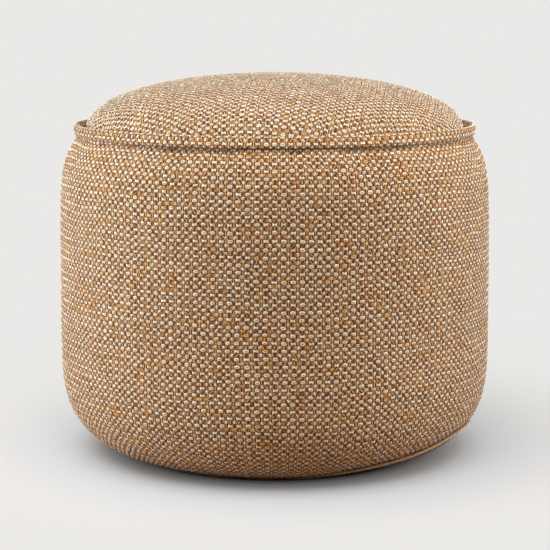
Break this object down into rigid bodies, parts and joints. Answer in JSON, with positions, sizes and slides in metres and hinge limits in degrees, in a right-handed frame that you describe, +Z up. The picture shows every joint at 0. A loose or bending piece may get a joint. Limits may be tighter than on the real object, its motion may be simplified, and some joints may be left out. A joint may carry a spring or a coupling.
{
  "type": "outdoor pouf footstool",
  "caption": "Round woven outdoor pouf: crowned top with a standing rim flange, bellied side, zipped removable cover over a filled inner bag.",
  "frame": {"origin": "centre of the flat base, on the surface the pouf stands on", "axes": "+Z up along the pouf's axis, -Y towards the front, the zip along the back (+Y)"},
  "size_m": [0.5092, 0.51, 0.446],
  "materials": {
    "woven_side": "matte",
    "woven_top": "matte",
    "woven_base": "matte",
    "liner_cloth": "matte",
    "wadding": "matte",
    "soft_foam": "matte",
    "firm_foam": "matte",
    "zip_tape": "matte",
    "zip_teeth": "satin",
    "zip_metal": "satin"
  },
  "bodies": {
    "cover": {"side_panel": "woven_side", "top_panel": "woven_top", "base_panel": "woven_base", "rim_flange": "woven_side", "rim_seam_allowance": "woven_base", "liner_side": "liner_cloth", "liner_top": "liner_cloth", "liner_base": "liner_cloth", "wadding_side": "wadding", "wadding_top": "wadding", "wadding_base": "wadding", "comfort_pad": "soft_foam", "foam_core": "firm_foam", "zip_tape_upper": "zip_tape", "zip_tape_lower": "zip_tape", "zip_teeth_upper": "zip_teeth", "zip_teeth_lower": "zip_teeth", "zip_top_stop_upper": "zip_metal", "zip_top_stop_lower": "zip_metal", "zip_bottom_stop": "zip_metal"},
    "slider": {"zip_slider": "zip_metal"},
    "pull": {"zip_pull": "zip_metal"}
  },
  "joints": [
    {"name": "zip_travel", "type": "hinge", "parent": "cover", "child": "slider", "pos_m": [0, 0, 0], "axis": [0, 0, 1], "range_deg": [0, 112.9]},
    {"name": "pull_swing", "type": "hinge", "parent": "slider", "child": "pull", "pos_m": [0.15998, 0.10601, 0.00748], "axis": [0.7817, 0.518, 0.3473], "range_deg": [-170, 0]}
  ]
}
